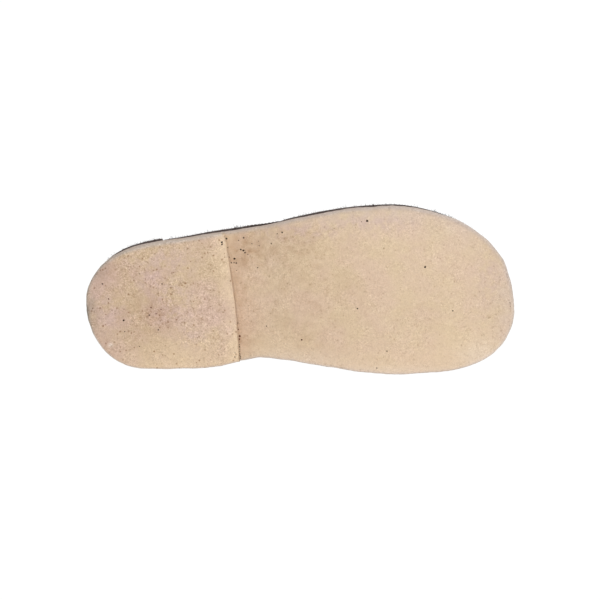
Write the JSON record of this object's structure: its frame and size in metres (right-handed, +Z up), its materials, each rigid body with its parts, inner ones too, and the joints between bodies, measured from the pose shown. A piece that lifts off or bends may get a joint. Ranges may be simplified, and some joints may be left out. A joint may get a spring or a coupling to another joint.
{
  "type": "lace-up shoe",
  "caption": "Child's right lace-up shoe with a dark suede upper and a natural crepe rubber sole, lying on its inner side with the sole towards the viewer",
  "frame": {"origin": "middle of the lying shoe's footprint, on the floor", "axes": "+X from heel to toe, the sole faces -Y, +Z up; the shoe lies on its inner side"},
  "size_m": [0.19, 0.0882, 0.0751],
  "materials": {
    "crepe": "matte natural crepe, mottled",
    "suede": "napped suede",
    "lining": "plain lining leather",
    "lace": "round waxed cotton",
    "eyelet": "dark rolled metal"
  },
  "bodies": {
    "root": {"outsole": "crepe", "heel": "crepe", "insole": "lining", "upper": "suede", "tongue": "suede", "counter": "suede", "quarter_lateral": "suede", "quarter_medial": "suede", "eyelet_lateral_1": "eyelet", "eyelet_lateral_2": "eyelet", "eyelet_lateral_3": "eyelet", "eyelet_medial_1": "eyelet", "eyelet_medial_2": "eyelet", "eyelet_medial_3": "eyelet", "lace_bar_1": "lace", "lace_bar_2": "lace", "lace_bar_3": "lace"}
  },
  "joints": []
}
